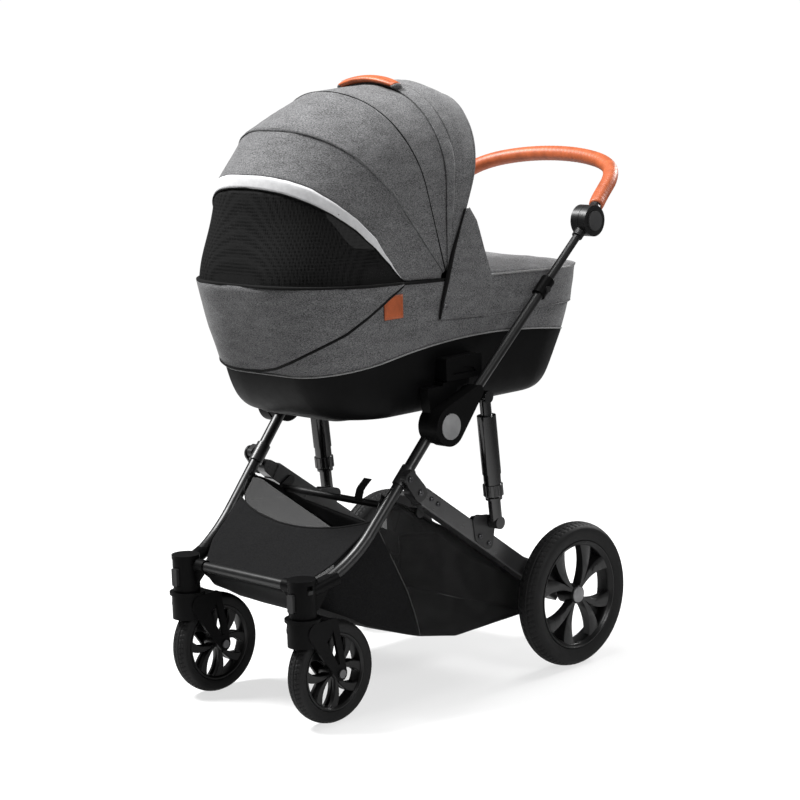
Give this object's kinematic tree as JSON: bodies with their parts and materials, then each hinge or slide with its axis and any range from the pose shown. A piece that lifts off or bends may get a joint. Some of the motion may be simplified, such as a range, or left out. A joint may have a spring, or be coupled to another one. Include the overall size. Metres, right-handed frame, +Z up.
{
  "type": "pram",
  "caption": "Folding pram chassis with swivel front wheels, sprung rear struts and telescopic leather handle, carrying a lift-off carrycot with hood, apron and basket.",
  "frame": {"origin": "centre of the footprint box on the floor, under the pram", "axes": "+Y to the push handle, -Y to the front casters, +X to the pusher's left, +Z up"},
  "size_m": [0.5752, 0.967, 1.188],
  "materials": {
    "black_tube": "satin black powder coat",
    "bracket_metal": "satin dark coat",
    "axle_steel": "dark steel",
    "rivet_steel": "blackened steel",
    "black_plastic": "fine moulded texture",
    "button_plastic": "smooth satin",
    "hub_cap": "satin grey, blank",
    "gloss_strut": "gloss black",
    "tyre_rubber": "matt rubber",
    "wheel_plastic": "satin",
    "tan_leather": "tan, fine grain",
    "grey_melange": "grey melange weave",
    "black_cloth": "black woven and mesh",
    "mattress_cloth": "soft white jersey"
  },
  "bodies": {
    "front_frame": {"front_leg_left": "black_tube", "front_leg_right": "black_tube", "front_cross_tube": "black_tube", "caster_housing_left": "black_plastic", "caster_housing_right": "black_plastic", "leg_brackets": "bracket_metal", "bracket_rivets": "rivet_steel", "fold_hub_left": "black_plastic", "fold_hub_right": "black_plastic", "basket": "black_cloth"},
    "rear_frame": {"rear_beam_left": "black_tube", "rear_beam_right": "black_tube", "rear_axle": "axle_steel", "cross_bar": "black_tube", "strut_feet": "bracket_metal", "beam_rivets": "rivet_steel"},
    "push_frame": {"knuckle_left": "black_plastic", "knuckle_right": "black_plastic", "hub_caps": "hub_cap", "handle_outer_tubes": "black_tube", "telescope_sleeves": "black_plastic"},
    "handle_slider": {"handle_inner_tube_left": "black_tube", "handle_inner_tube_right": "black_tube"},
    "grip": {"grip_tube": "black_tube", "leather_grip": "tan_leather"},
    "brake": {"brake_pedal": "black_plastic"},
    "carrycot": {"carrycot_tub": "black_plastic", "cot_wall": "grey_melange", "mattress": "mattress_cloth", "cot_adapters": "black_plastic", "apron": "grey_melange", "hood_front": "grey_melange"},
    "hood_mid": {"hood_mid": "grey_melange"},
    "hood_rear": {"hood_rear": "grey_melange", "carry_handle": "tan_leather"},
    "caster_left": {"caster_fork_left": "black_plastic", "front_axle_left": "axle_steel"},
    "front_wheel_left": {"front_tyre_left": "tyre_rubber", "front_rim_left": "wheel_plastic"},
    "rear_wheel_left": {"rear_tyre_left": "tyre_rubber", "rear_rim_left": "wheel_plastic"},
    "strut_upper_left": {"strut_rod_left": "gloss_strut"},
    "strut_lower_left": {"strut_body_left": "gloss_strut"},
    "telescope_button_left": {"telescope_button_left": "button_plastic"},
    "joint_button_left": {"joint_button_left": "button_plastic"},
    "wheel_release_left": {"wheel_release_left": "button_plastic"},
    "swivel_lock_left": {"swivel_lock_left": "button_plastic"},
    "caster_right": {"caster_fork_right": "black_plastic", "front_axle_right": "axle_steel"},
    "front_wheel_right": {"front_tyre_right": "tyre_rubber", "front_rim_right": "wheel_plastic"},
    "rear_wheel_right": {"rear_tyre_right": "tyre_rubber", "rear_rim_right": "wheel_plastic"},
    "strut_upper_right": {"strut_rod_right": "gloss_strut"},
    "strut_lower_right": {"strut_body_right": "gloss_strut"},
    "telescope_button_right": {"telescope_button_right": "button_plastic"},
    "joint_button_right": {"joint_button_right": "button_plastic"},
    "wheel_release_right": {"wheel_release_right": "button_plastic"},
    "swivel_lock_right": {"swivel_lock_right": "button_plastic"}
  },
  "joints": [
    {"name": "frame_fold", "type": "hinge", "parent": "front_frame", "child": "push_frame", "pos_m": [0, -0.13452, 0.53], "axis": [-1, 0, 0], "range_deg": [0, 94]},
    {"name": "rear_frame_fold", "type": "hinge", "parent": "front_frame", "child": "rear_frame", "pos_m": [0, -0.19652, 0.411], "axis": [-1, 0, 0], "range_deg": [0, 70.5]},
    {"name": "handle_telescope", "type": "slide", "parent": "push_frame", "child": "handle_slider", "axis": [0, 0.7547, 0.6561], "range_m": [-0.1, 0.03]},
    {"name": "grip_angle", "type": "hinge", "parent": "handle_slider", "child": "grip", "pos_m": [0, 0.28229, 0.8817], "axis": [1, 0, 0], "range_deg": [-45, 45]},
    {"name": "brake_pedal", "type": "hinge", "parent": "rear_frame", "child": "brake", "pos_m": [0, 0.19048, 0.145], "axis": [-1, 0, 0], "range_deg": [0, 15]},
    {"name": "carrycot_lift", "type": "slide", "parent": "front_frame", "child": "carrycot", "axis": [0, 0, 1], "range_m": [0, 0.12]},
    {"name": "hood_fold", "type": "hinge", "parent": "carrycot", "child": "hood_rear", "pos_m": [0, -0.08452, 0.803], "axis": [1, 0, 0], "range_deg": [0, 64]},
    {"name": "hood_mid_fold", "type": "hinge", "parent": "carrycot", "child": "hood_mid", "pos_m": [0, -0.08452, 0.803], "axis": [1, 0, 0], "range_deg": [0, 41.6]},
    {"name": "caster_swivel_left", "type": "hinge", "parent": "front_frame", "child": "caster_left", "pos_m": [0.163, -0.44952, 0.24], "axis": [0, 0, 1], "continuous": true},
    {"name": "front_wheel_spin_left", "type": "hinge", "parent": "caster_left", "child": "front_wheel_left", "pos_m": [0.163, -0.38552, 0.098], "axis": [1, 0, 0], "continuous": true},
    {"name": "rear_wheel_spin_left", "type": "hinge", "parent": "rear_frame", "child": "rear_wheel_left", "pos_m": [0.2616, 0.19048, 0.145], "axis": [1, 0, 0], "continuous": true},
    {"name": "strut_pivot_left", "type": "hinge", "parent": "push_frame", "child": "strut_upper_left", "pos_m": [0.236, -0.02552, 0.571], "axis": [1, 0, 0], "range_deg": [0, 60.16]},
    {"name": "suspension_left", "type": "slide", "parent": "strut_upper_left", "child": "strut_lower_left", "axis": [0, -0.0995, 0.995], "range_m": [0, 0.02], "stiffness_N_per_m": 9000},
    {"name": "telescope_button_left", "type": "slide", "parent": "push_frame", "child": "telescope_button_left", "axis": [-1, 0, 0], "range_m": [0, 0.0025], "stiffness_N_per_m": 600},
    {"name": "joint_button_left", "type": "slide", "parent": "grip", "child": "joint_button_left", "axis": [-1, 0, 0], "range_m": [0, 0.003], "stiffness_N_per_m": 600},
    {"name": "wheel_release_left", "type": "slide", "parent": "front_frame", "child": "wheel_release_left", "axis": [0, 1, 0], "range_m": [0, 0.0035], "stiffness_N_per_m": 600},
    {"name": "swivel_lock_left", "type": "slide", "parent": "front_frame", "child": "swivel_lock_left", "axis": [0, 0, 1], "range_m": [0, 0.006]},
    {"name": "caster_swivel_right", "type": "hinge", "parent": "front_frame", "child": "caster_right", "pos_m": [-0.163, -0.44952, 0.24], "axis": [0, 0, 1], "continuous": true},
    {"name": "front_wheel_spin_right", "type": "hinge", "parent": "caster_right", "child": "front_wheel_right", "pos_m": [-0.163, -0.38552, 0.098], "axis": [1, 0, 0], "continuous": true},
    {"name": "rear_wheel_spin_right", "type": "hinge", "parent": "rear_frame", "child": "rear_wheel_right", "pos_m": [-0.2616, 0.19048, 0.145], "axis": [1, 0, 0], "continuous": true},
    {"name": "strut_pivot_right", "type": "hinge", "parent": "push_frame", "child": "strut_upper_right", "pos_m": [-0.236, -0.02552, 0.571], "axis": [1, 0, 0], "range_deg": [0, 60.16]},
    {"name": "suspension_right", "type": "slide", "parent": "strut_upper_right", "child": "strut_lower_right", "axis": [0, -0.0995, 0.995], "range_m": [0, 0.02], "stiffness_N_per_m": 9000},
    {"name": "telescope_button_right", "type": "slide", "parent": "push_frame", "child": "telescope_button_right", "axis": [1, 0, 0], "range_m": [0, 0.0025], "stiffness_N_per_m": 600},
    {"name": "joint_button_right", "type": "slide", "parent": "grip", "child": "joint_button_right", "axis": [1, 0, 0], "range_m": [0, 0.003], "stiffness_N_per_m": 600},
    {"name": "wheel_release_right", "type": "slide", "parent": "front_frame", "child": "wheel_release_right", "axis": [0, 1, 0], "range_m": [0, 0.0035], "stiffness_N_per_m": 600},
    {"name": "swivel_lock_right", "type": "slide", "parent": "front_frame", "child": "swivel_lock_right", "axis": [0, 0, 1], "range_m": [0, 0.006]}
  ],
  "couplings": [
    {"joint": "rear_frame_fold", "follows": "frame_fold", "ratio": 0.75},
    {"joint": "hood_mid_fold", "follows": "hood_fold", "ratio": 0.65},
    {"joint": "strut_pivot_left", "follows": "frame_fold", "ratio": 0.64},
    {"joint": "strut_pivot_right", "follows": "frame_fold", "ratio": 0.64}
  ]
}
